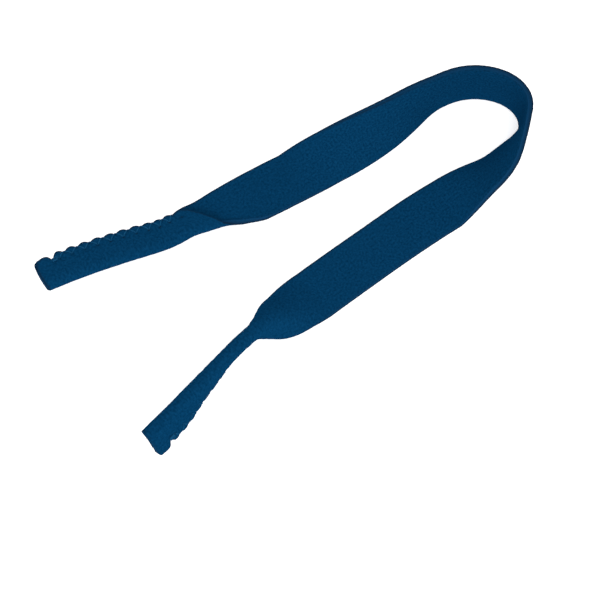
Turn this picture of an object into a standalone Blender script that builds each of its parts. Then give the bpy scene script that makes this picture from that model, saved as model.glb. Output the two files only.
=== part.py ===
"""Eyeglass retainer strap: one die-cut strip of neoprene sheet with both ends folded and sewn into sleeves.

The strip is swept along its spine, the lengthwise middle line of the cut blank. Along the spine the blank
stays flat in the band, curls at the two necks and closes into a flattened tube at the two sleeves. Each
stretch that a hand can flex separately is a body of its own, and each body holds the three layers of the
sheet: a foam core and a knitted jersey on either face. Metres, +Z up, the table at z = 0.
"""

import math

import bpy
import numpy as np

# Driving dimensions in metres
STRAP_LENGTH = 0.395
BAND_WIDTH = 0.0202
SLEEVE_BLANK_WIDTH = 0.0225
SHEET_THICKNESS = 0.0024
JERSEY_THICKNESS = 0.0003
GLUE_GAP = 0.0002
FOLD_RADIUS = 0.00175
SEAM_GAP = 0.0003
JOINT_GAP = 0.0003
THREAD_DIAMETER = 0.00035
STITCH_PITCH = 0.0048
STITCH_DEPTH = 0.0030
SEAM_LENGTH = 0.0548
SEAM_START = 0.0056
STITCH_LIFT = 0.0007
CLIMB_REACH = 0.004  # the spine's climb is evened out over this much to either side
ORIGIN_SHIFT = (-0.08637, -0.00923)

# Where the bodies meet, as distances along the spine from the left sleeve's mouth
LEFT_TWIST = 0.060
LEFT_NECK = 0.077
LEFT_SPREAD = 0.168
RIGHT_SPREAD = 0.204
RIGHT_NECK = 0.315
RIGHT_TWIST = 0.336
SPREAD_LIMIT = math.radians(60)
NECK_LIMIT = math.radians(60)

# The lay of the strap on a table, as (distance along the spine in mm, degrees)
HEADING = [
    (0, 25.2), (40, 18.7), (56, 33.8), (66, 35.5), (90, 30.6), (115, 25.2), (135, 30), (150, 36.8),
    (165, 26.2), (178, 0.2), (188, -23.3), (197, -56.4), (206, -103.5), (211, -121.1), (218, -121.8),
    (235, -148), (280, -142.4), (320, -141.4), (335, -137.8), (345, -134.4), (395, -133.6),
]
LEAN = [
    (100, 0), (130, 42.5), (150, 67), (165, 83), (180, 84.5), (196, 84.5), (206, 83), (213, 70),
    (222, 52), (235, 29.5), (250, 0),
]

# Towards either end, by distance from the nearer mouth in mm: the blank's width, and how the right sleeve
# lies rolled, in degrees
BLANK_WIDTH = [
    (0, SLEEVE_BLANK_WIDTH * 1000), (25, SLEEVE_BLANK_WIDTH * 1000), (50, 21.6), (62, BAND_WIDTH * 1000),
]
RIGHT_ROLL = [
    (0, 28), (12.7, 23.5), (25.7, 6.5), (33.4, -3), (41.8, -13), (48, -19.6), (56, -17), (64, -8), (71, 0),
]

# The left sleeve's crease slides towards the blank's inner edge at the neck while its flap opens: the
# crease's place across the blank in mm, the share of the full fold, and how far the inner edge is cut in
# there in mm. The right sleeve opens evenly on both sides of its crease.
LEFT_CREASE = [(55, 0), (62, -2.4), (69, -4.4), (76, -7.2), (84, -9)]
LEFT_FOLD = [(55, 1), (60, 0.98), (65, 0.97), (70, 0.84), (75, 0.5), (80, 0.22), (88, 0)]
LEFT_WAIST = [(55, 0), (62, 0.8), (69, 4.7), (76, 3), (84, 0.5), (92, 0)]
RIGHT_FOLD = [(55, 1), (60, 0.88), (65, 0.66), (71, 0.42), (84, 0)]

# Material colour and roughness
JERSEY_BLUE = (0.003, 0.044, 0.112, 1.0)
THREAD_BLUE = (0.006, 0.060, 0.145, 1.0)
FOAM_BLUE = (0.002, 0.036, 0.105, 1.0)


def smooth_curve(stations, place):
    """Value of a smooth curve through the stations, level where they turn back."""
    x = np.array([station[0] for station in stations], float)
    y = np.array([station[1] for station in stations], float)
    secant = np.diff(y) / np.diff(x)
    slope = np.zeros(len(x))
    slope[0] = secant[0]
    slope[-1] = secant[-1]
    for i in range(1, len(x) - 1):
        if secant[i - 1] * secant[i] > 0:
            slope[i] = 2 * secant[i - 1] * secant[i] / (secant[i - 1] + secant[i])
    place = np.clip(place, x[0], x[-1])
    i = np.clip(np.searchsorted(x, place, side="right") - 1, 0, len(x) - 2)
    step = x[i + 1] - x[i]
    t = (place - x[i]) / step
    rise = (1 + 2 * t) * (1 - t) ** 2 * y[i] + t * t * (3 - 2 * t) * y[i + 1]
    return rise + step * (t * (1 - t) ** 2 * slope[i] + t * t * (t - 1) * slope[i + 1])


def folded_share(s):
    """How far the blank is folded at distances s: 0 in the band, 1 in a sleeve."""
    mm = s * 1000
    from_right = STRAP_LENGTH * 1000 - mm
    return np.where(mm < from_right, smooth_curve(LEFT_FOLD, mm), smooth_curve(RIGHT_FOLD, from_right))


def full_fold(half_width):
    """Slope of a sleeve's walls, which close in on each other towards the seam, and the turn of its fold."""
    seam_half = (SHEET_THICKNESS + SEAM_GAP) / 2
    slope = np.arcsin((FOLD_RADIUS - seam_half) / (half_width - FOLD_RADIUS * math.pi / 2))
    return slope, math.pi + 2 * slope


def crease_curve(place, crease, arc, turn):
    """A section folded over at its crease, with the part towards the inner edge turned back on top.

    arc is the sheet's length in the bend. Returns where each place across the blank comes to, with the outer
    part level, and the sheet's tilt there.
    """
    radius = arc / np.maximum(turn, 1e-6)
    flat_from = crease + arc / 2
    flap_from = crease - arc / 2
    angle = (flat_from - np.clip(place, flap_from, flat_from)) / radius
    flat = np.maximum(place - flat_from, 0)
    flap = np.maximum(flap_from - place, 0)
    x = flat - radius * np.sin(angle) - flap * np.cos(turn)
    y = radius * (1 - np.cos(angle)) + flap * np.sin(turn)
    return x, y, -angle


def left_section(half_width, folded, place, s):
    """The section at the left end: places relative to the spine, tilt of the sheet and roll of the whole."""
    slope, full_turn = full_fold(half_width)
    arc = FOLD_RADIUS * full_turn
    crease = smooth_curve(LEFT_CREASE, s * 1000) / 1000
    x, y, tilt = crease_curve(place, crease, arc, folded * full_turn)
    spine_x, spine_y, _ = crease_curve(np.zeros_like(place), crease, arc, folded * full_turn)
    return x - spine_x, y - spine_y, tilt, slope * folded


def right_section(half_width, folded, place, s):
    """The same at the right end: an arc from the spine down to either side, then straight to the edge."""
    _, full_turn = full_fold(half_width)
    turn = folded * full_turn
    closed_arc = FOLD_RADIUS * full_turn
    arc = closed_arc + (1.5 * half_width - closed_arc) * (1 - folded)
    curvature = np.maximum(turn / arc, 1e-6)
    reach = np.abs(place)
    on_arc = np.minimum(reach, arc / 2)
    straight = reach - on_arc
    angle = curvature * on_arc
    half = np.where(place < 0, -1.0, 1.0)
    x = half * (np.sin(angle) / curvature + straight * np.cos(angle))
    y = -(1 - np.cos(angle)) / curvature - straight * np.sin(angle)
    return x, y, -half * angle, np.radians(smooth_curve(RIGHT_ROLL, (STRAP_LENGTH - s) * 1000))


def section(s, across, offset):
    """Place of a point of the sheet in its section: outward and upward distances from the spine.

    across runs from -1 at the inner edge of the bend to +1 at its outer edge, offset is the distance from
    the middle of the sheet towards its upper face.
    """
    from_mouth = np.minimum(s, STRAP_LENGTH - s)
    half_width = smooth_curve(BLANK_WIDTH, from_mouth * 1000) / 2000
    folded = folded_share(s)
    is_left = s < STRAP_LENGTH / 2
    inner_half = half_width - smooth_curve(LEFT_WAIST, s * 1000) / 1000
    place = across * np.where(across < 0, inner_half, half_width)
    left = left_section(half_width, folded, place, s)
    right = right_section(half_width, folded, place, s)
    x, y, tilt, roll = (np.where(is_left, a, b) for a, b in zip(left, right))
    x = x - offset * np.sin(tilt)
    y = y + offset * np.cos(tilt)
    rotation = roll + np.radians(smooth_curve(LEAN, s * 1000))
    outward = x * np.cos(rotation) - y * np.sin(rotation)
    upward = x * np.sin(rotation) + y * np.cos(rotation)
    return outward, upward


def evened(values, step):
    """Values along the spine, each averaged with its neighbours as far as CLIMB_REACH to either side."""
    reach = round(CLIMB_REACH / step)
    weights = np.hanning(2 * reach + 3)[1:-1]
    return np.convolve(np.pad(values, reach, mode="edge"), weights / weights.sum(), mode="valid")


def lay_path():
    """The spine at every half millimetre: places and climb angles, with the sheet resting on the table."""
    s = np.linspace(0, STRAP_LENGTH, round(STRAP_LENGTH * 2000) + 1)
    across = np.linspace(-1, 1, 41)
    lowest = np.full(len(s), 1.0)
    for offset in (-SHEET_THICKNESS / 2, SHEET_THICKNESS / 2):
        upward = section(s[:, None], across[None, :], offset)[1]
        lowest = np.minimum(lowest, upward.min(axis=1))
    height = STITCH_LIFT * folded_share(s) - lowest
    climb = np.arcsin(np.clip(evened(np.gradient(height, s), s[1] - s[0]), -0.6, 0.6))
    heading = np.radians(smooth_curve(HEADING, s * 1000))
    step = s[1] - s[0]
    run_x = np.cos(climb) * np.cos(heading)
    run_y = np.cos(climb) * np.sin(heading)
    x = np.concatenate([[0], np.cumsum((run_x[1:] + run_x[:-1]) / 2 * step)]) + ORIGIN_SHIFT[0]
    y = np.concatenate([[0], np.cumsum((run_y[1:] + run_y[:-1]) / 2 * step)]) + ORIGIN_SHIFT[1]
    return s, np.stack([x, y, height], axis=1), climb


PATH_S, PATH_POINTS, PATH_CLIMB = lay_path()


def spine_frame(s):
    """Spine point, direction of travel, outward and upward unit vectors at distances s."""
    centre = np.stack([np.interp(s, PATH_S, PATH_POINTS[:, i]) for i in range(3)], axis=-1)
    climb = np.interp(s, PATH_S, PATH_CLIMB)
    heading = np.radians(smooth_curve(HEADING, s * 1000))
    level = np.zeros_like(heading)
    level_travel = [np.cos(climb) * np.cos(heading), np.cos(climb) * np.sin(heading)]
    travel = np.stack([*level_travel, np.sin(climb)], axis=-1)
    outward = np.stack([-np.sin(heading), np.cos(heading), level], axis=-1)
    return centre, travel, outward, np.cross(travel, outward)


def sheet_point(s, across, offset):
    """World place of a point of the sheet."""
    centre, _, outward, upward = spine_frame(s)
    u, v = section(s, across, offset)
    return centre + outward * u[..., None] + upward * v[..., None]


def spread_setback(s, across):
    """Distance an end keeps from an upright hinge through the spine, so that it can turn by SPREAD_LIMIT."""
    outward, _ = section(s, across, 0.0)
    return JOINT_GAP / 2 + (np.abs(outward) + SHEET_THICKNESS / 2) * math.tan(SPREAD_LIMIT / 2)


def neck_setback(s, across):
    """The same for a level hinge across the strap, in the middle of the sheet's thickness."""
    height = sheet_point(s, across, 0.0)[..., 2]
    reach = np.abs(height - SHEET_THICKNESS / 2) + SHEET_THICKNESS / 2
    return JOINT_GAP / 2 + reach * math.tan(NECK_LIMIT / 2)


def twist_setback(s, across):
    """The same for a hinge along the strap, whose ends stay square to it."""
    return np.full(np.shape(across), JOINT_GAP / 2)


def no_setback(s, across):
    return np.zeros(np.shape(across))


def spread_pivot(s):
    """A point of the upright hinge at distance s: the spine itself."""
    return spine_frame(np.array(s))[0]


def neck_pivot(s):
    """The middle of a level hinge across the strap at distance s."""
    centre = spine_frame(np.array(s))[0]
    return np.array([centre[0], centre[1], SHEET_THICKNESS / 2])


def twist_pivot(s):
    """The middle of the folded section at distance s, where the twist's axis passes."""
    across = np.linspace(-1, 1, 41)
    return sheet_point(np.full(41, s), across, np.zeros(41)).mean(axis=0)


def row_places(knots):
    """Distances of a mesh's rows: each knot's share of even steps up to the next knot."""
    places = []
    for (start, steps), (stop, _) in zip(knots, knots[1:]):
        places += [start + (stop - start) * i / steps for i in range(steps)]
    return places + [knots[-1][0]]


def layer_mesh(name, knots, ends, columns, offsets):
    """A closed mesh of one layer of one body.

    knots are (distance along the spine, rows up to the next knot), ends the setback function at either end,
    columns the places across the sheet, offsets the layer's two surfaces, measured from the sheet's middle.
    """
    across_row = np.array(columns)
    ring_across = np.concatenate([across_row, across_row[::-1]])
    ring_offset = np.repeat(offsets, len(across_row))
    stations = row_places(knots)
    steps = len(stations) - 1
    rows = []
    for i, station in enumerate(stations):
        s = np.full(ring_across.shape, station)
        if i == 0:
            s = s + ends[0](s, ring_across)
        if i == steps:
            s = s - ends[1](s, ring_across)
        rows.append(sheet_point(s, ring_across, ring_offset))
    count = len(ring_across)
    half = len(across_row)
    faces = []
    for i in range(steps):
        for j in range(count):
            a = i * count + j
            b = i * count + (j + 1) % count
            # Both surfaces of a layer are split along the same diagonal, the one that follows the left
            # end's crease, so that stacked layers stay apart
            if j < half:
                faces.append((a, b, a + count))
                faces.append((b, b + count, a + count))
            else:
                faces.append((a, b, b + count))
                faces.append((a, b + count, a + count))
    last_row = steps * count
    for j in range(half - 1):
        a, b = j, j + 1
        c, d = count - 2 - j, count - 1 - j
        faces.append((a, c, b))
        faces.append((a, d, c))
        faces.append((last_row + a, last_row + b, last_row + c))
        faces.append((last_row + a, last_row + c, last_row + d))
    mesh = bpy.data.meshes.new(name)
    mesh.from_pydata(np.concatenate(rows).tolist(), [], faces)
    return mesh


def make_material(name, colour, roughness):
    material = bpy.data.materials.new(name)
    material.use_nodes = True
    shader = material.node_tree.nodes["Principled BSDF"]
    shader.inputs["Base Color"].default_value = colour
    shader.inputs["Roughness"].default_value = roughness
    shader.inputs["Metallic"].default_value = 0.0
    material.diffuse_color = colour
    return material


def add_object(name, mesh, material, pivot):
    """Adds a mesh given in world metres as an object whose origin is the pivot."""
    for vertex in mesh.vertices:
        vertex.co = [vertex.co[i] - pivot[i] for i in range(3)]
    mesh.materials.append(material)
    mesh.shade_smooth()
    mesh.set_sharp_from_angle(angle=math.radians(50))
    thing = bpy.data.objects.new(name, mesh)
    thing.location = pivot
    bpy.context.scene.collection.objects.link(thing)
    return thing


def even_columns(count):
    return list(np.linspace(-1, 1, count))


def curled_columns():
    """Columns for the left arm: close together where its inner edge curls over at the neck."""
    return list(np.linspace(-1, -0.5, 7)) + [0.0, 0.5, 1.0]


def folded_columns(arc_count, wall_count):
    """Columns for a folded stretch: close together round the fold, then a few out to each edge."""
    half_width = SLEEVE_BLANK_WIDTH / 2
    arc_share = FOLD_RADIUS * (math.pi + 0.2) / 2 / half_width
    arc = np.linspace(-arc_share, arc_share, arc_count)
    wall = np.linspace(arc_share, 1, wall_count + 1)[1:]
    return list(-wall[::-1]) + list(arc) + list(wall)


LEFT_SLEEVE_ROWS = [(0, 11), (0.055, 3), (LEFT_TWIST, 0)]
LEFT_NECK_ROWS = [(LEFT_TWIST, 8), (LEFT_NECK, 0)]
LEFT_ARM_ROWS = [(LEFT_NECK, 8), (0.089, 2), (0.105, 12), (LEFT_SPREAD, 0)]
BACK_BAND_ROWS = [(LEFT_SPREAD, 14), (RIGHT_SPREAD, 0)]
RIGHT_ARM_ROWS = [(RIGHT_SPREAD, 16), (0.250, 5), (0.305, 2), (RIGHT_NECK, 0)]
RIGHT_NECK_ROWS = [(RIGHT_NECK, 5), (RIGHT_TWIST, 0)]
RIGHT_SLEEVE_ROWS = [(RIGHT_TWIST, 3), (0.341, 12), (STRAP_LENGTH, 0)]

LEFT_FOLD_COLUMNS = folded_columns(7, 3)
RIGHT_FOLD_COLUMNS = folded_columns(7, 2)
BODIES = [
    # name, rows, setback at each end, columns, a point of its hinge
    ("left_sleeve", LEFT_SLEEVE_ROWS, (no_setback, twist_setback), LEFT_FOLD_COLUMNS, twist_pivot(LEFT_TWIST)),
    ("left_neck", LEFT_NECK_ROWS, (twist_setback, neck_setback), even_columns(21), neck_pivot(LEFT_NECK)),
    ("left_arm", LEFT_ARM_ROWS, (neck_setback, spread_setback), curled_columns(), spread_pivot(LEFT_SPREAD)),
    ("back_band", BACK_BAND_ROWS, (spread_setback, spread_setback), even_columns(5), np.zeros(3)),
    ("right_arm", RIGHT_ARM_ROWS, (spread_setback, neck_setback), even_columns(5), spread_pivot(RIGHT_SPREAD)),
    ("right_neck", RIGHT_NECK_ROWS, (neck_setback, twist_setback), even_columns(13), neck_pivot(RIGHT_NECK)),
    ("right_sleeve", RIGHT_SLEEVE_ROWS, (twist_setback, no_setback), RIGHT_FOLD_COLUMNS, twist_pivot(RIGHT_TWIST)),
]

FOAM_HALF = SHEET_THICKNESS / 2 - JERSEY_THICKNESS - GLUE_GAP
LAYERS = [
    # name, lower and upper surface
    ("back_jersey", (-SHEET_THICKNESS / 2, -SHEET_THICKNESS / 2 + JERSEY_THICKNESS)),
    ("foam_core", (-FOAM_HALF, FOAM_HALF)),
    ("face_jersey", (SHEET_THICKNESS / 2 - JERSEY_THICKNESS, SHEET_THICKNESS / 2)),
]


def build_layers(jersey, foam):
    for body, knots, ends, columns, pivot in BODIES:
        for layer, offsets in LAYERS:
            name = body + "_" + layer
            material = foam if layer == "foam_core" else jersey
            mesh = layer_mesh(name, knots, ends, columns, offsets)
            add_object(name, mesh, material, pivot)


def seam_route(is_left, outer_face):
    """Corners of the zigzag on one wall: from a needle hole in the wall to just past the sewn edges.

    The wall of the outer edge is across = +1 and the folded-over wall is across = -1. The thread lies on the
    sheet's outside, a gap and half a thread away from the jersey.
    """
    outside = -1.0 if is_left else 1.0
    offset = outside * (SHEET_THICKNESS / 2 + SEAM_GAP + THREAD_DIAMETER / 2)
    wall = 1.0 if outer_face else -1.0
    hole = 1 - STITCH_DEPTH / (SLEEVE_BLANK_WIDTH / 2)
    edge = 1 + SEAM_GAP / (SLEEVE_BLANK_WIDTH / 2)
    corners = []
    for i in range(round(SEAM_LENGTH / STITCH_PITCH * 2) - 1):
        distance = SEAM_START + i * STITCH_PITCH / 2
        s = distance if is_left else STRAP_LENGTH - distance
        reach = edge if i % 2 == 0 else hole
        corners.append((s, wall * reach, offset))
    return [sheet_point(np.array(s), np.array(a), np.array(o)) for s, a, o in corners]


def thread_object(name, corners, material, pivot):
    """A round thread along a route, as a bevelled curve with closed ends."""
    curve = bpy.data.curves.new(name, "CURVE")
    curve.dimensions = "3D"
    curve.bevel_depth = THREAD_DIAMETER / 2
    curve.bevel_resolution = 1
    curve.use_fill_caps = True
    spline = curve.splines.new("POLY")
    spline.points.add(len(corners) - 1)
    for point, corner in zip(spline.points, corners):
        point.co = (*(corner[i] - pivot[i] for i in range(3)), 1)
    curve.materials.append(material)
    thing = bpy.data.objects.new(name, curve)
    thing.location = pivot
    bpy.context.scene.collection.objects.link(thing)
    return thing


def build_threads(material):
    for side, hinge, is_left in (("left", LEFT_TWIST, True), ("right", RIGHT_TWIST, False)):
        for thread, outer_face in (("needle_thread", False), ("bobbin_thread", True)):
            name = side + "_sleeve_" + thread
            thread_object(name, seam_route(is_left, outer_face), material, twist_pivot(hinge))


def main():
    for thing in list(bpy.data.objects):
        bpy.data.objects.remove(thing, do_unlink=True)
    jersey = make_material("jersey_blue", JERSEY_BLUE, 0.85)
    foam = make_material("foam_blue", FOAM_BLUE, 0.9)
    thread = make_material("thread_blue", THREAD_BLUE, 0.6)
    build_layers(jersey, foam)
    build_threads(thread)


main()
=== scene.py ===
"""Looks of the eyeglass retainer strap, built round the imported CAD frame.

The strap is one laminated neoprene sheet: a foam core with a knitted jersey on either face. Its spine and its
folded sections are the formulas of the CAD part, in metres. Here each layer is swept finely in six stretches,
each of which crosses one joint, and gets its scalloped and stitched edges, its pinched seams, its knit and
its cut foam edges.
"""

import math

import bpy
import numpy as np
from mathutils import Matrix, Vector


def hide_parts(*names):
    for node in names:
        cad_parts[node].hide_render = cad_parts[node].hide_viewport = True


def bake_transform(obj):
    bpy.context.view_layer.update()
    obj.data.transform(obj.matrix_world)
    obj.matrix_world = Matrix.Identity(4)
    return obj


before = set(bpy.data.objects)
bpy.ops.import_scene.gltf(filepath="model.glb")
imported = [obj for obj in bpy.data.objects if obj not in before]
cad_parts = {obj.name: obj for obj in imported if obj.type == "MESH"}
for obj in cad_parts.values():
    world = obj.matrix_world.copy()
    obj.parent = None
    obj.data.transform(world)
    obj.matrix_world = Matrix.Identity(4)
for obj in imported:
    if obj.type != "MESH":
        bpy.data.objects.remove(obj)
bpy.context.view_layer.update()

# Sizes of the strap in metres, as in the CAD part
STRAP_LENGTH = 0.395
BAND_WIDTH = 0.0202
SLEEVE_BLANK_WIDTH = 0.0225
SHEET_THICKNESS = 0.0024
FOLD_RADIUS = 0.00175
SEAM_GAP = 0.0003
STITCH_PITCH = 0.0048
STITCH_DEPTH = 0.0030
SEAM_START = 0.0056
STITCH_LIFT = 0.0007
OPEN_ARC = 1.5  # the bend of a fold that has opened, in half widths of the blank
CLIMB_REACH = 0.004
ORIGIN_SHIFT = (-0.08637, -0.00923)

# The lay of the strap, as (distance along the spine in mm, value)
HEADING = [
    (0, 25.2), (40, 18.7), (56, 33.8), (66, 35.5), (90, 30.6), (115, 25.2), (135, 30), (150, 36.8),
    (165, 26.2), (178, 0.2), (188, -23.3), (197, -56.4), (206, -103.5), (211, -121.1), (218, -121.8),
    (235, -148), (280, -142.4), (320, -141.4), (335, -137.8), (345, -134.4), (395, -133.6),
]
LEAN = [
    (100, 0), (130, 42.5), (150, 67), (165, 83), (180, 84.5), (196, 84.5), (206, 83), (213, 70),
    (222, 52), (235, 29.5), (250, 0),
]

# By distance from the nearer mouth in mm
BLANK_WIDTH = [
    (0, SLEEVE_BLANK_WIDTH * 1000), (25, SLEEVE_BLANK_WIDTH * 1000), (50, 21.6), (62, BAND_WIDTH * 1000),
]
RIGHT_ROLL = [
    (0, 28), (12.7, 23.5), (25.7, 6.5), (33.4, -3), (41.8, -13), (48, -19.6), (56, -17), (64, -8), (71, 0),
]

# Where the left end's crease lies across the blank in mm, the shares of the full fold at either end, and how
# far the inner edge is cut in at the left neck in mm
LEFT_CREASE = [(55, 0), (62, -2.4), (69, -4.4), (76, -7.2), (84, -9)]
LEFT_FOLD = [(55, 1), (60, 0.98), (65, 0.97), (70, 0.84), (75, 0.5), (80, 0.22), (88, 0)]
LEFT_WAIST = [(55, 0), (62, 0.8), (69, 4.7), (76, 3), (84, 0.5), (92, 0)]
RIGHT_FOLD = [(55, 1), (60, 0.88), (65, 0.66), (71, 0.42), (84, 0)]

# Make of the sheet
JERSEY_THICKNESS = 0.00034
FACE_ROLL = 0.00028
BACK_ROLL = 0.00010
EDGE_ROLL_WIDTH = 0.0008
FOAM_INSET = 0.00007
ROW_STEP = 0.0005
COLUMN_STEP = 0.00046
EDGE_COLUMNS = (0.00080, 0.00050, 0.00030, 0.00012)  # the last columns' distances from a cut edge
EDGE_GAP = 1.4  # where the even columns stop, in the first of those distances

# The mouths: where their cut ends lie past the spine's ends
FOLD_SHARE = 0.13  # the share of half the blank that the fold takes up
WALL_WIDTH = (SLEEVE_BLANK_WIDTH - 1.1 * FOLD_RADIUS) / 2  # of one wall, from its fold to its sewn edge
MOUTH_SHIFT_LENGTH = 0.003  # the sheet's rows shift with the cut end over about this length
LEFT_REACH = (0.0006, 0.0010)  # at the fold and at the sewn edge
LEFT_BOW = 0.0014
LEFT_FLAP_BACK = 0.0006  # the flap's end is cut back near its sewn edge
LEFT_FLAP_BACK_SHARES = (0.6, 0.9)
LEFT_WALL_BACK = 0.0004  # the lower wall's end is cut back near the fold
RIGHT_REACH = (0.0018, 0.0010)  # at the fold, on the flap and on the lower wall
RIGHT_SLANT = 0.0004
RIGHT_HOLLOW = 0.0012
FOLD_CORNER = (0.0005, 0.0004)  # radius on the left and on the right

# The sewn edges. The scallops' heights and how far the right edge stands out are in mm, by distance from the
# mouth in mm. Pairs are for the left and the right sleeve.
STITCHES = 10
SEAM_END = SEAM_START + STITCHES * STITCH_PITCH
LEFT_SCALLOPS = [(0, 0.85), (25, 0.80), (40, 0.62), (54, 0.40)]
RIGHT_SCALLOPS = [(0, 0.45), (30, 0.50), (54, 0.30)]
RIGHT_EDGE_OUT = [(0, 1.2), (6, 1.1), (14, 0.8), (25, 0.6), (54, 0.3)]
SCALLOP_ROUNDNESS = 0.55  # the share of a sine in a scallop, and the rest is its square
TRIM_FROM = 0.62  # the share of the half blank from which the sheet gives way to its edge
NOTCH_DEPTH = 0.0011  # of the first valley
NOTCH_LENGTH = 0.0010
EAR_RADIUS = (0.0004, 0.0017)
EAR_SWELL = (0.0005, 0.0003)
EAR_MIDDLE = 0.0027
EAR_LENGTH = 0.0016
MOUTH_SPREAD = 0.0009  # the left sleeve's lower wall stands out at the mouth
MOUTH_SPREAD_LENGTH = 0.0022
OPEN_END_BLEND = 0.0008

# Past the last valley: where the scallops end, and where the left edge springs out again and goes back
SCALLOPS_END = (-0.0004, 0.0016)
SPRING_RISE = (0.0010, 0.0026)
SPRING_FALL = (0.0030, 0.0130)
SPRING_OUT = 0.0009

# How deep the seam presses the sheet, then over what distance to either side
GROOVE = (0.00026, 0.00028)  # along a leg of the zigzag
HOLE = (0.00075, 0.00062, 0.00055)  # round a needle hole, along the seam and across it
WRAP = (0.00060, 0.36, 0.0011)  # where the thread wraps the edge, in half stitches and across the seam
CHANNEL = (0.00022, 0.0012)  # along the row of needle holes
SEWN_EDGE = (0.00030, 0.0008)
LEG_SQUARE = 0.62  # a distance across the seam times this is square to a leg
GROOVE_END = 1.15  # in stitch depths
PRESS_RISE = (-0.45, -0.05)  # in stitches from the first valley
PRESS_FALL = (STITCHES + 0.3, STITCHES + 1.1)

# The uneven surface: small ripples, and soft swells in the band
RELIEF = 0.022  # in shares of the sheet's half thickness
SWELL = 0.00009
SWELL_MEAN = 1.6  # in swells

# Painted shade beside each cut edge, for the edge's own shadow and its contact shadow: its width, and its
# strength on each layer
RIM_WIDTH = 0.00100
# The back jersey, underneath where the strap lies, gets the full painted shade as contact shadow
BACK_RIM = 1.0
FACE_RIM = (0.3, 1.0)  # on the near edges and on those that face away
OUTER_RIM_FALL = (0.135, 0.165)  # where along the spine the outer edge stops facing away
INNER_RIM_RISE = (0.215, 0.245)  # and where the inner edge starts to
# The foam's back side gets the stronger painted shade, as contact shadow under the strap
FOAM_RIM = (0.85, 0.05)  # on its back side and on its face side

# The threads
PLY_RADIUS = 0.00015
PLY_SIDES = 7
PLY_SPACING = 0.85  # of a ply's middle from the thread's, in ply radii
PLY_TURN = 0.0011  # the length in which a ply winds once round the thread
THREAD_STEP = 0.00014
LEG_RUN = 0.97 * STITCH_PITCH / 2
LEG_START = 0.00012  # from the valley
WRAP_START = 0.00008
# Round the edge: distance in from it and height over the sheet, beside the valley and in it
WRAP_SIDE = (-0.00022, -0.0008)
WRAP_MIDDLE = (-0.00024, -SHEET_THICKNESS / 2)
# Along a leg from its valley to its needle hole: the share of the way, and the height over the sheet
LEG_LIFTS = [(0.0, 0.00022), (0.22, 0.00020), (0.5, 0.00016), (0.8, 0.00012), (0.96, -0.0001), (1.0, -0.0006)]
# The short stitches that lock the seam: distance past the first valley, distance in and height over the
# sheet, in mm
BACKTACK = [
    (-0.6, 0.6, 0.0), (1.5, 1.3, 0.30), (-0.3, 1.5, 0.30),
    (1.9, 0.7, 0.42), (0.1, 0.4, 0.30), (2.2, 1.6, -0.3),
]


def smooth_curve(stations, place):
    """Value of a smooth curve through the stations, level where they turn back."""
    x = np.array([station[0] for station in stations], float)
    y = np.array([station[1] for station in stations], float)
    secant = np.diff(y) / np.diff(x)
    slope = np.zeros(len(x))
    slope[0] = secant[0]
    slope[-1] = secant[-1]
    for i in range(1, len(x) - 1):
        if secant[i - 1] * secant[i] > 0:
            slope[i] = 2 * secant[i - 1] * secant[i] / (secant[i - 1] + secant[i])
    place = np.clip(place, x[0], x[-1])
    i = np.clip(np.searchsorted(x, place, side="right") - 1, 0, len(x) - 2)
    step = x[i + 1] - x[i]
    t = (place - x[i]) / step
    rise = (1 + 2 * t) * (1 - t) ** 2 * y[i] + t * t * (3 - 2 * t) * y[i + 1]
    return rise + step * (t * (1 - t) ** 2 * slope[i] + t * t * (t - 1) * slope[i + 1])


def smooth_step(start, end, place):
    t = np.clip((place - start) / (end - start), 0, 1)
    return t * t * (3 - 2 * t)


def bell(place, width):
    """1 at place 0, and near 0 from about two widths to either side."""
    return np.exp(-((place / width) ** 2))


def from_mouth(s):
    """Distance to the nearer mouth, and whether that is the left one."""
    is_left = s < STRAP_LENGTH / 2
    return np.where(is_left, s, STRAP_LENGTH - s), is_left


def folded_share(s):
    """How far the blank is folded at distances s: 0 in the band, 1 in a sleeve."""
    mm = s * 1000
    from_right = STRAP_LENGTH * 1000 - mm
    return np.where(mm < from_right, smooth_curve(LEFT_FOLD, mm), smooth_curve(RIGHT_FOLD, from_right))


def half_width(s, towards_inner=False):
    """Half the blank's width, on the side of its outer edge or of its inner one, which has the waist."""
    half = smooth_curve(BLANK_WIDTH, from_mouth(s)[0] * 1000) / 2000
    return half - towards_inner * smooth_curve(LEFT_WAIST, s * 1000) / 1000


def full_fold(half_width):
    """Slope of a sleeve's walls, which close in on each other towards the seam, and the turn of its fold."""
    seam_half = (SHEET_THICKNESS + SEAM_GAP) / 2
    slope = np.arcsin((FOLD_RADIUS - seam_half) / (half_width - FOLD_RADIUS * math.pi / 2))
    return slope, math.pi + 2 * slope


def crease_curve(place, crease, arc, turn):
    """A section folded over at its crease, with the part towards the inner edge turned back on top.

    arc is the sheet's length in the bend. Returns where each place across the blank comes to, with the outer
    part level, and the sheet's tilt there.
    """
    radius = arc / np.maximum(turn, 1e-6)
    flat_from = crease + arc / 2
    flap_from = crease - arc / 2
    angle = (flat_from - np.clip(place, flap_from, flat_from)) / radius
    flat = np.maximum(place - flat_from, 0)
    flap = np.maximum(flap_from - place, 0)
    x = flat - radius * np.sin(angle) - flap * np.cos(turn)
    y = radius * (1 - np.cos(angle)) + flap * np.sin(turn)
    return x, y, -angle


def left_section(half_width, folded, place, s):
    """The section at the left end: places relative to the spine, tilt of the sheet and roll of the whole."""
    slope, full_turn = full_fold(half_width)
    arc = FOLD_RADIUS * full_turn
    crease = smooth_curve(LEFT_CREASE, s * 1000) / 1000
    x, y, tilt = crease_curve(place, crease, arc, folded * full_turn)
    spine_x, spine_y, _ = crease_curve(np.zeros_like(place), crease, arc, folded * full_turn)
    return x - spine_x, y - spine_y, tilt, slope * folded


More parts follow.
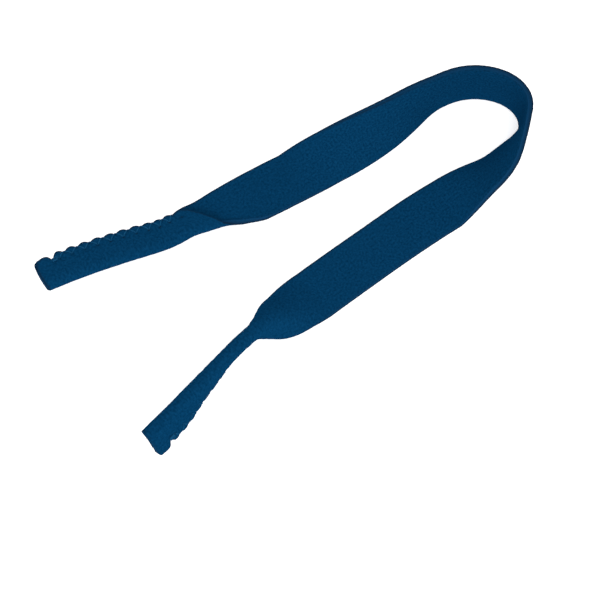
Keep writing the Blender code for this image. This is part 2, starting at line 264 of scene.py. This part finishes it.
def right_section(half_width, folded, place, s):
    """The same at the right end: an arc from the spine down to either side, then straight to the edge."""
    _, full_turn = full_fold(half_width)
    turn = folded * full_turn
    closed_arc = FOLD_RADIUS * full_turn
    arc = closed_arc + (OPEN_ARC * half_width - closed_arc) * (1 - folded)
    curvature = np.maximum(turn / arc, 1e-6)
    reach = np.abs(place)
    on_arc = np.minimum(reach, arc / 2)
    straight = reach - on_arc
    angle = curvature * on_arc
    half = np.where(place < 0, -1.0, 1.0)
    x = half * (np.sin(angle) / curvature + straight * np.cos(angle))
    y = -(1 - np.cos(angle)) / curvature - straight * np.sin(angle)
    return x, y, -half * angle, np.radians(smooth_curve(RIGHT_ROLL, (STRAP_LENGTH - s) * 1000))


def section(s, place, offset):
    """Outward and upward distances from the spine of a point of the sheet.

    place is its distance from the spine on the blank, negative towards the inner edge of the bend, and offset
    its distance from the middle of the sheet towards its upper face.
    """
    half_blank = half_width(s)
    folded = folded_share(s)
    left = left_section(half_blank, folded, place, s)
    right = right_section(half_blank, folded, place, s)
    x, y, tilt, roll = (np.where(s < STRAP_LENGTH / 2, a, b) for a, b in zip(left, right))
    x = x - offset * np.sin(tilt)
    y = y + offset * np.cos(tilt)
    rotation = roll + np.radians(smooth_curve(LEAN, s * 1000))
    outward = x * np.cos(rotation) - y * np.sin(rotation)
    upward = x * np.sin(rotation) + y * np.cos(rotation)
    return outward, upward


def evened(values, step):
    """Values along the spine, each averaged with its neighbours as far as CLIMB_REACH to either side."""
    reach = round(CLIMB_REACH / step)
    weights = np.hanning(2 * reach + 3)[1:-1]
    return np.convolve(np.pad(values, reach, mode="edge"), weights / weights.sum(), mode="valid")


def lay_path():
    """The spine at every half millimetre: places and climb angles, with the sheet resting on the table."""
    s = np.linspace(0, STRAP_LENGTH, round(STRAP_LENGTH * 2000) + 1)
    share = np.linspace(-1, 1, 41)[None, :]
    place = share * half_width(s[:, None], share < 0)
    lowest = np.full(len(s), 1.0)
    for offset in (-SHEET_THICKNESS / 2, SHEET_THICKNESS / 2):
        upward = section(s[:, None], place, offset)[1]
        lowest = np.minimum(lowest, upward.min(axis=1))
    height = STITCH_LIFT * folded_share(s) - lowest
    climb = np.arcsin(np.clip(evened(np.gradient(height, s), s[1] - s[0]), -0.6, 0.6))
    heading = np.radians(smooth_curve(HEADING, s * 1000))
    step = s[1] - s[0]
    run_x = np.cos(climb) * np.cos(heading)
    run_y = np.cos(climb) * np.sin(heading)
    x = np.concatenate([[0], np.cumsum((run_x[1:] + run_x[:-1]) / 2 * step)]) + ORIGIN_SHIFT[0]
    y = np.concatenate([[0], np.cumsum((run_y[1:] + run_y[:-1]) / 2 * step)]) + ORIGIN_SHIFT[1]
    return s, np.stack([x, y, height], axis=1), climb


PATH_S, PATH_POINTS, PATH_CLIMB = lay_path()


def spine_frame(s):
    """Spine point, direction of travel, outward and upward unit vectors, also past the mouths."""
    centre = np.stack([np.interp(s, PATH_S, PATH_POINTS[:, i]) for i in range(3)], axis=-1)
    climb = np.interp(s, PATH_S, PATH_CLIMB)
    heading = np.radians(smooth_curve(HEADING, s * 1000))
    level = np.zeros_like(heading)
    level_run = np.cos(climb)
    travel = np.stack([level_run * np.cos(heading), level_run * np.sin(heading), np.sin(climb)], axis=-1)
    outward = np.stack([-np.sin(heading), np.cos(heading), level], axis=-1)
    past = s - np.clip(s, 0, STRAP_LENGTH)
    return centre + travel * past[..., None], travel, outward, np.cross(travel, outward)


def seam_phase(distance):
    """Stitches counted from the first valley: whole at a valley, half at a needle hole."""
    return (distance - SEAM_START) / STITCH_PITCH


def round_corner(reach, radius):
    """How far a rounded corner stands back at a distance reach from the side it is rounded towards."""
    inside = np.clip(radius - reach, 0, radius)
    return radius - np.sqrt(radius**2 - inside**2)


# How high each scallop stands, from the one before the first valley on
LOBES = np.random.default_rng(5).uniform(0.72, 1.12, STITCHES + 3)


def wall_share(share):
    """How far across a sleeve's wall a place lies: below 0 in the fold, and 1 at the sewn edge."""
    return (np.abs(share) - FOLD_SHARE) / (1 - FOLD_SHARE)


def mouth_reach(across_wall, is_left, on_flap):
    """How far a mouth's cut end lies past the spine's end, by how far across the wall it is."""
    t = np.clip(across_wall, 0, 1)
    left = LEFT_REACH[0] + (LEFT_REACH[1] - LEFT_REACH[0]) * t + LEFT_BOW * t * (1 - t)
    left = left - LEFT_FLAP_BACK * on_flap * smooth_step(*LEFT_FLAP_BACK_SHARES, t)
    left = left - LEFT_WALL_BACK * (1 - on_flap) * (1 - t)
    right = np.where(on_flap, *RIGHT_REACH) - RIGHT_SLANT * t - RIGHT_HOLLOW * t * (1 - t)
    corner = np.where(is_left, *(round_corner(t * WALL_WIDTH, radius) for radius in FOLD_CORNER))
    return np.where(is_left, left, right) - corner


def scalloped_edge(distance, is_left):
    """How far the sewn edge stands back but for its notch: scallops, and the spring past the last stitch."""
    mm = np.maximum(distance, 0) * 1000
    phase = seam_phase(distance)
    wave = np.abs(np.sin(math.pi * phase))
    lobe = LOBES[np.clip(np.floor(phase), -1, STITCHES + 1).astype(int)]
    puff = (SCALLOP_ROUNDNESS * wave + (1 - SCALLOP_ROUNDNESS) * wave * wave) * lobe
    left = -smooth_curve(LEFT_SCALLOPS, mm) * puff
    right = smooth_curve(RIGHT_SCALLOPS, mm) * (1 - puff) - smooth_curve(RIGHT_EDGE_OUT, mm)
    past_seam = distance - SEAM_END
    sewn = np.where(is_left, left, right) / 1000 * (1 - smooth_step(*SCALLOPS_END, past_seam))
    spring = smooth_step(*SPRING_RISE, past_seam) * (1 - smooth_step(*SPRING_FALL, past_seam))
    return sewn - SPRING_OUT * spring * is_left


def open_end_edge(distance, is_left, on_flap):
    """How far the unsewn edge between the mouth and the first valley stands back, apart from its notch."""
    from_end = distance + mouth_reach(1.0, is_left, on_flap)
    ear = np.where(is_left, *(round_corner(from_end, radius) for radius in EAR_RADIUS))
    swell = np.where(is_left, *EAR_SWELL) * bell(distance - EAR_MIDDLE, EAR_LENGTH)
    spread = MOUTH_SPREAD * is_left * (1 - on_flap) * bell(distance, MOUTH_SPREAD_LENGTH)
    right_out = smooth_curve(RIGHT_EDGE_OUT, np.maximum(distance, 0) * 1000) / 1000 * (1 - is_left)
    return ear - swell - spread - right_out


def scallop(distance, is_left, on_flap):
    """How far the sewn edge stands back from the blank's own edge, at a distance from the mouth."""
    share = smooth_step(SEAM_START - OPEN_END_BLEND, SEAM_START, distance)
    edge = open_end_edge(distance, is_left, on_flap) * (1 - share) + scalloped_edge(distance, is_left) * share
    return edge + NOTCH_DEPTH * bell(distance - SEAM_START, NOTCH_LENGTH)


RIPPLE = np.random.default_rng(11)
RIPPLE_WAVES = [
    (RIPPLE.uniform(0.25, 0.75), RIPPLE.uniform(0, math.tau), RIPPLE.uniform(0, math.tau)) for _ in range(40)
]
SWELL_WAVES = [
    (RIPPLE.uniform(0.02, 0.06), RIPPLE.uniform(0, math.tau), RIPPLE.uniform(0, math.tau)) for _ in range(12)
]


def random_relief(waves, s, place):
    """A smooth random field of about unit size over the blank.

    Each wave has its cycles per mm, direction and phase.
    """
    total = np.zeros(np.broadcast(s, place).shape)
    for cycles, direction, phase in waves:
        run = s * 1000 * math.cos(direction) + place * 1000 * math.sin(direction)
        total = total + np.sin(math.tau * cycles * run + phase)
    return total * math.sqrt(2 / len(waves))


def seam_press(distance, inside):
    """How far the sheet is pressed down by its stitches, inside being the distance in from the sewn edge."""
    phase = seam_phase(distance)
    sewn = smooth_step(*PRESS_RISE, phase) * (1 - smooth_step(*PRESS_FALL, phase))
    turn = np.abs(phase - np.round(phase)) * 2
    from_leg = (inside - STITCH_DEPTH * turn) * LEG_SQUARE
    from_hole = (1 - turn) * STITCH_PITCH / 2
    groove = GROOVE[0] * bell(from_leg, GROOVE[1]) * (inside < STITCH_DEPTH * GROOVE_END)
    hole = HOLE[0] * bell(from_hole, HOLE[1]) * bell(inside - STITCH_DEPTH, HOLE[2])
    wrap = WRAP[0] * bell(turn, WRAP[1]) * bell(inside, WRAP[2])
    channel = CHANNEL[0] * bell(inside - STITCH_DEPTH, CHANNEL[1])
    edge = SEWN_EDGE[0] * bell(inside, SEWN_EDGE[1])
    return sewn * (groove + hole + wrap + channel + edge)


def cloth_point(s, place, offset):
    """World place of a point of the sheet, with its seam pressed and its surface uneven."""
    distance, is_left = from_mouth(s)
    outside = np.where(is_left, -1.0, 1.0)
    trim = scallop(distance, is_left, (place < 0) == is_left)
    inside = np.maximum(half_width(s, place < 0) - trim - np.abs(place), 0)
    pressed = seam_press(distance, inside)
    towards_outside = (1 + outside * offset / (SHEET_THICKNESS / 2)) / 2
    uneven = 1 + RELIEF * random_relief(RIPPLE_WAVES, s, place)
    u, v = section(s, place, offset * uneven - outside * pressed * towards_outside)
    swell = SWELL * (SWELL_MEAN + random_relief(SWELL_WAVES, s, place)) * (1 - folded_share(s))
    centre, _, outward, upward = spine_frame(s)
    point = centre + outward * u[..., None] + upward * v[..., None]
    point[..., 2] += swell
    return point


def new_mesh_object(name, points, faces, material):
    mesh = bpy.data.meshes.new(name)
    mesh.from_pydata(points.tolist(), [], faces)
    mesh.materials.append(material)
    mesh.shade_smooth()
    thing = bpy.data.objects.new(name, mesh)
    bpy.context.scene.collection.objects.link(thing)
    return thing


def set_cloth_map(thing, along, across):
    """A UV map that holds the blank's own coordinates in metres."""
    mesh = thing.data
    corners = np.zeros(len(mesh.loops), np.int64)
    mesh.loops.foreach_get("vertex_index", corners)
    layer = mesh.uv_layers.new(name="Cloth")
    flat = np.stack([along.ravel()[corners], across.ravel()[corners]], axis=1)
    layer.data.foreach_set("uv", flat.astype(np.float32).ravel())


def columns(step):
    """Shares of the half width, closer together at the two cut edges."""
    half = BAND_WIDTH / 2
    middle_half = half - EDGE_COLUMNS[0] * EDGE_GAP
    middle = np.arange(-middle_half, middle_half + step / 2, step)
    middle = np.linspace(middle[0], -middle[0], len(middle))
    near = np.array([half - distance for distance in EDGE_COLUMNS] + [half])
    return np.concatenate([-near[::-1], middle, near]) / half


def slab_faces(rows, across):
    """Faces of a closed slab, whose points are a grid of its under side and then one of its upper side."""
    under = np.arange(rows * across).reshape(rows, across)
    over = under + rows * across

    def quads(a, b, c, d):
        return np.stack([a.ravel(), b.ravel(), c.ravel(), d.ravel()], axis=1)

    faces = [
        quads(over[:-1, :-1], over[1:, :-1], over[1:, 1:], over[:-1, 1:]),
        quads(under[:-1, :-1], under[:-1, 1:], under[1:, 1:], under[1:, :-1]),
        quads(over[:-1, 0], under[:-1, 0], under[1:, 0], over[1:, 0]),
        quads(over[:-1, -1], over[1:, -1], under[1:, -1], under[:-1, -1]),
        quads(over[0, :-1], over[0, 1:], under[0, 1:], under[0, :-1]),
        quads(over[-1, :-1], under[-1, :-1], under[-1, 1:], over[-1, 1:]),
    ]
    return np.concatenate(faces).tolist()


def from_cut_edge(share, width):
    """1 at the sheet's cut edge, falling to 0 at the width in from it."""
    return np.clip(1 - (1 - np.abs(share)) * BAND_WIDTH / 2 / width, 0, 1)


def layer_sides(layer, share):
    """How far a layer's under and upper sides lie from the middle of the sheet, rolled in at cut edges."""
    inner_face = np.full(share.shape, SHEET_THICKNESS / 2 - JERSEY_THICKNESS)
    roll = from_cut_edge(share, EDGE_ROLL_WIDTH) ** 2
    if layer == "face_jersey":
        return inner_face, SHEET_THICKNESS / 2 - FACE_ROLL * roll
    if layer == "back_jersey":
        return -SHEET_THICKNESS / 2 + BACK_ROLL * roll, -inner_face
    return -inner_face, inner_face


def rim_shade_strength(layer, s, share, from_end):
    """How dark the painted edge shade is at each point of a layer's two sides, from_end being how far the cut
    end is.
    """
    if layer == "foam_core":
        # the foam is painted darker on its back side, as contact shadow
        return np.concatenate([np.full(s.shape, strength) for strength in FOAM_RIM])
    rim_shade = np.maximum(from_cut_edge(share, RIM_WIDTH), np.clip(1 - from_end / RIM_WIDTH, 0, 1))
    if layer == "back_jersey":
        return np.tile(rim_shade * BACK_RIM, (2, 1))
    # the face jersey's painted shade is stronger on the edges that face away
    faces_away = np.where(share > 0, 1 - smooth_step(*OUTER_RIM_FALL, s), smooth_step(*INNER_RIM_RISE, s))
    return np.tile(rim_shade * (FACE_RIM[0] + (FACE_RIM[1] - FACE_RIM[0]) * faces_away), (2, 1))


def layer_piece(name, start, stop, layer, material):
    """One layer of one stretch as a closed mesh, from start to stop along the spine."""
    is_core = layer == "foam_core"
    rows = np.linspace(start, stop, round((stop - start) / ROW_STEP) + 1)
    s, share = np.meshgrid(rows, columns(COLUMN_STEP * (2 if is_core else 1)), indexing="ij")

    # The mouths are cut a little past the spine's ends, bowed and with rounded corners
    distance, is_left = from_mouth(s)
    on_flap = (share < 0) == is_left
    reach = mouth_reach(wall_share(share), is_left, on_flap)
    s = s - np.where(is_left, 1.0, -1.0) * bell(distance, MOUTH_SHIFT_LENGTH) * reach
    distance = from_mouth(s)[0]

    trim = scallop(distance, is_left, on_flap) + (FOAM_INSET if is_core else 0.0)
    near_edge = smooth_step(TRIM_FROM, 1.0, np.abs(share))
    place = share * half_width(s, share < 0) - np.sign(share) * trim * near_edge

    sides = [cloth_point(s, place, offset).reshape(-1, 3) for offset in layer_sides(layer, share)]
    thing = new_mesh_object(name, np.concatenate(sides), slab_faces(*s.shape), material)
    thing.data.set_sharp_from_angle(angle=math.radians(55))
    set_cloth_map(thing, np.concatenate([s, s]), np.concatenate([place, place]))
    # Painted shade along the cut edges, kept as a point attribute for the materials
    rim_shade = rim_shade_strength(layer, s, share, distance + reach)
    rim_shade_values = thing.data.attributes.new("rim_shade", "FLOAT", "POINT")
    rim_shade_values.data.foreach_set("value", rim_shade.astype(np.float32).ravel())
    return thing


# Materials -----------------------------------------------------------------------------------------------

BLUE = (0.0009, 0.0330, 0.0890, 1.0)
BLUE_DEEP = (0.0000, 0.0168, 0.0490, 1.0)
BLUE_LIGHT = (0.0032, 0.0500, 0.1300, 1.0)
# Colour of the painted shade along the cut edges
BLUE_RIM_SHADE = (0.0044, 0.0125, 0.0270, 1.0)
FOAM_DARK = (0.0020, 0.0310, 0.0820, 1.0)
FOAM_LIGHT = (0.0050, 0.0470, 0.1230, 1.0)
THREAD_DARK = (0.0030, 0.0480, 0.1200, 1.0)
THREAD_LIGHT = (0.0090, 0.0800, 0.1850, 1.0)
THREAD_PALE = (0.0120, 0.0900, 0.2000, 1.0)
TABLE_WHITES = ((0.94, 0.94, 0.94, 1.0), (0.955, 0.955, 0.955, 1.0))

# The knit's columns of V stitches: wales run along the strap and courses across it
WALE_WIDTH = 0.00055
COURSE_LENGTH = 0.00042
V_SLANT = 1.6  # courses that a V's leg would rise by over a whole wale

TABLE_SIZE = 6.0
TABLE_DROP = 0.0002  # keeps the table clear of the cloth that rests on it
TABLE_GLOW = 0.50


class Nodes:
    """A short way to write a material's node tree."""

    def __init__(self, name):
        self.material = bpy.data.materials.new(name)
        self.material.use_nodes = True
        self.tree = self.material.node_tree
        self.shader = self.tree.nodes["Principled BSDF"]

    def add(self, kind, **settings):
        node = self.tree.nodes.new(kind)
        for key, value in settings.items():
            setattr(node, key, value)
        return node

    def feed(self, socket, value):
        if isinstance(value, bpy.types.NodeSocket):
            self.tree.links.new(value, socket)
        else:
            socket.default_value = value

    def math(self, operation, first, second=0.0):
        node = self.add("ShaderNodeMath", operation=operation)
        for socket, value in zip(node.inputs, (first, second)):
            self.feed(socket, value)
        return node.outputs[0]

    def scaled(self, value, factor, start):
        return self.math("ADD", start, self.math("MULTIPLY", value, factor))

    # Reads the painted shade along the cut edges from the mesh
    def rim_shade(self):
        return self.add("ShaderNodeAttribute", attribute_name="rim_shade").outputs["Fac"]

    def mix(self, share, first, second):
        node = self.add("ShaderNodeMix", data_type="RGBA")
        self.feed(node.inputs[0], share)
        self.feed(node.inputs[6], first)
        self.feed(node.inputs[7], second)
        return node.outputs[2]

    def noise(self, vector, scale, detail, roughness):
        node = self.add("ShaderNodeTexNoise")
        self.feed(node.inputs["Vector"], vector)
        node.inputs["Scale"].default_value = scale
        node.inputs["Detail"].default_value = detail
        node.inputs["Roughness"].default_value = roughness
        return node.outputs[0]

    def spread(self, value, low, high):
        """value's stretch from low to high, brought to 0..1."""
        node = self.add("ShaderNodeMapRange", clamp=True)
        self.feed(node.inputs[0], value)
        node.inputs[1].default_value = low
        node.inputs[2].default_value = high
        return node.outputs[0]

    def bump(self, height, distance, strength, under=None):
        node = self.add("ShaderNodeBump")
        self.feed(node.inputs["Height"], height)
        node.inputs["Distance"].default_value = distance
        node.inputs["Strength"].default_value = strength
        if under is not None:
            self.feed(node.inputs["Normal"], under)
        return node.outputs[0]


def knit_height(nodes, cloth):
    """Height of the knit, 0 to 1, from the blank's own coordinates."""
    split = nodes.add("ShaderNodeSeparateXYZ")
    nodes.feed(split.inputs[0], cloth)
    along, across, _ = split.outputs
    wale = nodes.math("FRACT", nodes.math("DIVIDE", across, WALE_WIDTH))
    from_middle = nodes.math("ABSOLUTE", nodes.math("SUBTRACT", wale, 0.5))
    from_leg = nodes.math("ABSOLUTE", nodes.math("SUBTRACT", from_middle, 0.25))
    leg = nodes.math("SUBTRACT", 1.0, nodes.math("MULTIPLY", from_leg, 4.0))
    rise = nodes.math("MULTIPLY", from_middle, V_SLANT)
    course = nodes.math("ADD", nodes.math("DIVIDE", along, COURSE_LENGTH), rise)
    wave = nodes.math("SINE", nodes.math("MULTIPLY", course, math.tau))
    loop = nodes.scaled(wave, 0.5, 0.5)
    return nodes.math("MULTIPLY", nodes.math("POWER", leg, 0.6), nodes.scaled(loop, 0.55, 0.45))


def jersey_material():
    nodes = Nodes("jersey")
    cloth = nodes.add("ShaderNodeUVMap", uv_map="Cloth").outputs[0]
    knit = knit_height(nodes, cloth)
    speckle = nodes.noise(cloth, 1250.0, 3.0, 0.65)
    patch = nodes.noise(cloth, 110.0, 2.0, 0.5)
    broad = nodes.noise(cloth, 26.0, 1.0, 0.4)

    base = nodes.mix(nodes.spread(speckle, 0.32, 0.68), BLUE_DEEP, BLUE_LIGHT)
    base = nodes.mix(0.15, base, BLUE)
    patches = nodes.math("MULTIPLY", nodes.spread(patch, 0.3, 0.7), 0.10)
    tones = nodes.math("MULTIPLY", nodes.spread(broad, 0.3, 0.7), 0.10)
    base = nodes.mix(nodes.math("ADD", patches, tones), base, BLUE_LIGHT)
    # Painted shade: the knit's valleys are darkened as if in their own shadow
    valley = nodes.math("MULTIPLY", nodes.math("SUBTRACT", 1.0, knit), 0.30)
    base = nodes.mix(valley, base, BLUE_DEEP)
    # Painted shade along the cut edges
    base = nodes.mix(nodes.math("MULTIPLY", nodes.rim_shade(), 0.8), base, BLUE_RIM_SHADE)
    nodes.feed(nodes.shader.inputs["Base Color"], base)
    rough = nodes.scaled(nodes.spread(speckle, 0.3, 0.7), 0.14, 0.78)
    nodes.feed(nodes.shader.inputs["Roughness"], rough)
    nodes.shader.inputs["Specular IOR Level"].default_value = 0.0
    coarse = nodes.bump(speckle, 0.00006, 0.7)
    nodes.feed(nodes.shader.inputs["Normal"], nodes.bump(knit, 0.00005, 0.8, coarse))
    return nodes.material


def foam_material():
    nodes = Nodes("foam")
    place = nodes.add("ShaderNodeTexCoord").outputs["Object"]
    pores = nodes.add("ShaderNodeTexVoronoi", feature="F1")
    nodes.feed(pores.inputs["Vector"], place)
    pores.inputs["Scale"].default_value = 4200.0
    cell = nodes.spread(pores.outputs[0], 0.15, 0.75)
    grain = nodes.noise(place, 1500.0, 3.0, 0.6)
    base = nodes.mix(cell, FOAM_DARK, FOAM_LIGHT)
    # Painted shade, mostly on the foam's back side, as contact shadow
    base = nodes.mix(nodes.math("MULTIPLY", nodes.rim_shade(), 0.85), base, BLUE_RIM_SHADE)
    nodes.feed(nodes.shader.inputs["Base Color"], base)
    nodes.feed(nodes.shader.inputs["Roughness"], nodes.scaled(grain, 0.15, 0.80))
    nodes.shader.inputs["Specular IOR Level"].default_value = 0.0
    nodes.feed(nodes.shader.inputs["Normal"], nodes.bump(cell, 0.00008, 0.8))
    return nodes.material


def thread_material():
    nodes = Nodes("thread")
    place = nodes.add("ShaderNodeTexCoord").outputs["Object"]
    fibre = nodes.noise(place, 5200.0, 3.0, 0.7)
    tone = nodes.noise(place, 500.0, 1.0, 0.5)
    base = nodes.mix(nodes.spread(fibre, 0.3, 0.7), THREAD_DARK, THREAD_LIGHT)
    base = nodes.mix(nodes.math("MULTIPLY", tone, 0.3), base, THREAD_PALE)
    nodes.feed(nodes.shader.inputs["Base Color"], base)
    nodes.feed(nodes.shader.inputs["Roughness"], nodes.scaled(fibre, 0.2, 0.45))
    nodes.shader.inputs["Specular IOR Level"].default_value = 0.0
    nodes.feed(nodes.shader.inputs["Normal"], nodes.bump(fibre, 0.00003, 0.8))
    return nodes.material


# Threads -------------------------------------------------------------------------------------------------


def smooth_line(corners, step):
    """A Catmull-Rom line through the corners, resampled evenly at about step metres."""
    corners = np.asarray(corners)
    padded = np.concatenate([2 * corners[:1] - corners[1:2], corners, 2 * corners[-1:] - corners[-2:-1]])
    t = np.linspace(0, 1, 9)[:-1, None]
    parts = []
    for p0, p1, p2, p3 in zip(padded, padded[1:], padded[2:], padded[3:]):
        square = 2 * p0 - 5 * p1 + 4 * p2 - p3
        cube = 3 * p1 - p0 - 3 * p2 + p3
        parts.append(0.5 * (2 * p1 + (p2 - p0) * t + square * t**2 + cube * t**3))
    line = np.concatenate([*parts, corners[-1:]])
    run = np.concatenate([[0], np.cumsum(np.linalg.norm(np.diff(line, axis=0), axis=1))])
    places = np.linspace(0, run[-1], max(3, round(run[-1] / step)))
    return np.stack([np.interp(places, run, line[:, i]) for i in range(3)], axis=1), places


def ply_tube(line, places, start_angle):
    """Points and faces of one ply: a tube that winds round the line."""
    travel = np.gradient(line, axis=0)
    travel /= np.linalg.norm(travel, axis=1)[:, None]
    normal = np.zeros_like(travel)
    current = np.cross(travel[0], [0.0, 0.0, 1.0])
    for i, direction in enumerate(travel):
        current = current - direction * (current @ direction)
        current /= np.linalg.norm(current)
        normal[i] = current
    binormal = np.cross(travel, normal)
    wind = start_angle + places / PLY_TURN * math.tau
    from_middle = normal * np.cos(wind)[:, None] + binormal * np.sin(wind)[:, None]
    core = line + PLY_RADIUS * PLY_SPACING * from_middle
    round_angle = np.arange(PLY_SIDES) / PLY_SIDES * math.tau
    ring = normal[:, None, :] * np.cos(round_angle)[None, :, None]
    ring = ring + binormal[:, None, :] * np.sin(round_angle)[None, :, None]
    points = (core[:, None, :] + PLY_RADIUS * ring).reshape(-1, 3)
    faces = []
    count = len(line)
    for i in range(count - 1):
        for j in range(PLY_SIDES):
            a = i * PLY_SIDES + j
            b = i * PLY_SIDES + (j + 1) % PLY_SIDES
            faces.append((a, b, b + PLY_SIDES, a + PLY_SIDES))
    faces.append(tuple(range(PLY_SIDES))[::-1])
    faces.append(tuple((count - 1) * PLY_SIDES + j for j in range(PLY_SIDES)))
    return points, faces


def thread_point(is_left, on_flap, distance, inside, lift):
    """A point of a thread on one wall: inside is in from the blank's edge, and lift is over the sheet."""
    outside = -1.0 if is_left else 1.0
    wall = -1.0 if is_left == on_flap else 1.0
    s = np.array([distance if is_left else STRAP_LENGTH - distance])
    offset = np.array([outside * (SHEET_THICKNESS / 2 + lift)])
    return cloth_point(s, wall * (half_width(s) - inside), offset)[0]


def seam_route(is_left, on_flap):
    """The zigzag of one thread on one wall: over the edge at each valley, into the sheet at each hole."""
    corners = []

    def add(distance, inside, lift):
        trim = scallop(np.array([distance]), is_left, on_flap)
        corners.append(thread_point(is_left, on_flap, distance, trim + inside, lift))

    for k in range(STITCHES + 1):
        valley = SEAM_START + k * STITCH_PITCH
        if k > 0:
            for share, lift in LEG_LIFTS[::-1]:
                add(valley - share * LEG_RUN - LEG_START, share * STITCH_DEPTH, lift)
            add(valley - WRAP_START, *WRAP_SIDE)
            add(valley, *WRAP_MIDDLE)
        if k < STITCHES:
            add(valley + WRAP_START, *WRAP_SIDE)
            for share, lift in LEG_LIFTS:
                add(valley + share * LEG_RUN + LEG_START, share * STITCH_DEPTH, lift)
    return corners


def backtack_route(is_left, on_flap):
    """Short stitches on top of one another, just inside the first valley."""
    corners = []
    for along, inside, lift in BACKTACK:
        distance = SEAM_START + along / 1000
        corners.append(thread_point(is_left, on_flap, distance, NOTCH_DEPTH + inside / 1000, lift / 1000))
    return corners


def thread_piece(name, routes, material):
    points = []
    faces = []
    total = 0
    for route in routes:
        line, places = smooth_line(route, THREAD_STEP)
        for start_angle in (0.0, math.pi):
            tube_points, tube_faces = ply_tube(line, places, start_angle)
            points.append(tube_points)
            faces += [tuple(i + total for i in face) for face in tube_faces]
            total += len(tube_points)
    thing = new_mesh_object(name, np.concatenate(points), faces, material)
    return thing


# Assembly ------------------------------------------------------------------------------------------------

# name, start, stop, the joint's two bodies, where the fabric bends, bodies whose CAD nodes it stands for,
# and how it is held
STRETCHES = [
    ("left_sleeve", 0.000, 0.0700, ("left_sleeve", "left_neck"), (0.0555, 0.0665), ("left_sleeve",), "folded"),
    ("left_neck", 0.0700, 0.1100, ("left_neck", "left_arm"), (0.0715, 0.0830), ("left_neck",), "folded"),
    ("left_arm", 0.1100, 0.1860, ("left_arm", "back_band"), (0.1550, 0.1810), ("left_arm",), "laid"),
    ("back_band", 0.1860, 0.2500, ("back_band", "right_arm"), (0.1910, 0.2170), ("back_band",), "laid"),
    ("right_arm", 0.2500, 0.3260, ("right_arm", "right_neck"), (0.3080, 0.3220), ("right_arm",), "laid"),
    (
        "right_sleeve", 0.3260, 0.3950, ("right_neck", "right_sleeve"), (0.3290, 0.3400),
        ("right_neck", "right_sleeve"), "folded",
    ),
]
LAYERS = ("back_jersey", "foam_core", "face_jersey")


def spine_point(s):
    return spine_frame(np.array(s))[0]


def build_threads():
    """The four threads' pieces, by the names of the CAD nodes that they stand for."""
    thread = thread_material()
    threads = {}
    for side, is_left in (("left", True), ("right", False)):
        for kind, on_flap in (("needle_thread", True), ("bobbin_thread", False)):
            node = side + "_sleeve_" + kind
            routes = [seam_route(is_left, on_flap), backtack_route(is_left, on_flap)]
            piece = thread_piece("seam_" + node, routes, thread)
            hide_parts(node)
            threads[node] = piece
    return threads


def build_strap():
    """Builds each stretch's three layers in place of its CAD parts, and bakes the transforms of a sleeve's
    threads too.
    """
    jersey = jersey_material()
    foam = foam_material()
    threads = build_threads()
    for name, start, stop, bodies, bend, stood_for, held in STRETCHES:
        bend_start = Vector(spine_point(bend[0]))
        bend_end = Vector(spine_point(bend[1]))
        own_threads = [piece for node, piece in threads.items() if node.startswith(name)]
        for layer in LAYERS:
            material = foam if layer == "foam_core" else jersey
            piece = layer_piece("cloth_" + name + "_" + layer, start, stop, layer, material)
            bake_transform(piece)
            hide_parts(*(body + "_" + layer for body in stood_for))
        for piece in own_threads:
            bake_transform(piece)


def add_stage():
    """A white table just under the strap, lit a little from within so that it stays white."""
    bpy.ops.mesh.primitive_plane_add(size=TABLE_SIZE, location=(0, 0, -TABLE_DROP))
    floor = bpy.context.object
    floor.name = "table"
    nodes = Nodes("table_white")
    nodes.shader.inputs["Roughness"].default_value = 0.9
    nodes.shader.inputs["Specular IOR Level"].default_value = 0.1
    place = nodes.add("ShaderNodeTexCoord").outputs["Object"]
    tone = nodes.noise(place, 3.0, 1.0, 0.4)
    nodes.feed(nodes.shader.inputs["Base Color"], nodes.mix(tone, *TABLE_WHITES))
    nodes.shader.inputs["Emission Color"].default_value = (1, 1, 1, 1)
    nodes.shader.inputs["Emission Strength"].default_value = TABLE_GLOW
    floor.data.materials.append(nodes.material)


def add_light(name, place, aim, size, power):
    lamp = bpy.data.lights.new(name, "AREA")
    lamp.shape = "DISK"
    lamp.size = size
    lamp.energy = power
    thing = bpy.data.objects.new(name, lamp)
    thing.location = place
    thing.rotation_euler = (Vector(aim) - Vector(place)).to_track_quat("-Z", "Y").to_euler()
    bpy.context.scene.collection.objects.link(thing)


def add_lighting():
    world = bpy.data.worlds.new("studio")
    world.use_nodes = True
    bpy.context.scene.world = world
    back = world.node_tree.nodes["Background"]
    back.inputs[0].default_value = (1, 1, 1, 1)
    back.inputs[1].default_value = 1.0
    add_light("key", (0.05, -0.80, 0.68), (0, 0, 0), 0.6, 5.0)
    bpy.context.scene.view_settings.view_transform = "Standard"


def add_camera():
    """A long lens from the near side, aimed at the table, whose frame is frame_width wide there."""
    lens = 200.0
    sensor = 36.0
    frame_width = 0.2183
    elevation = math.radians(66.3)
    aim = Vector((0.00513, -0.01252, 0.0))
    distance = frame_width * lens / sensor
    data = bpy.data.cameras.new("camera")
    data.lens = lens
    data.sensor_width = sensor
    data.clip_start = 0.01
    data.clip_end = 50
    camera = bpy.data.objects.new("camera", data)
    back = Vector((0, -math.cos(elevation), math.sin(elevation)))
    camera.location = aim + back * distance
    camera.rotation_euler = (-back).to_track_quat("-Z", "Y").to_euler()
    bpy.context.scene.collection.objects.link(camera)
    bpy.context.scene.camera = camera


add_camera()
add_stage()
add_lighting()
build_strap()
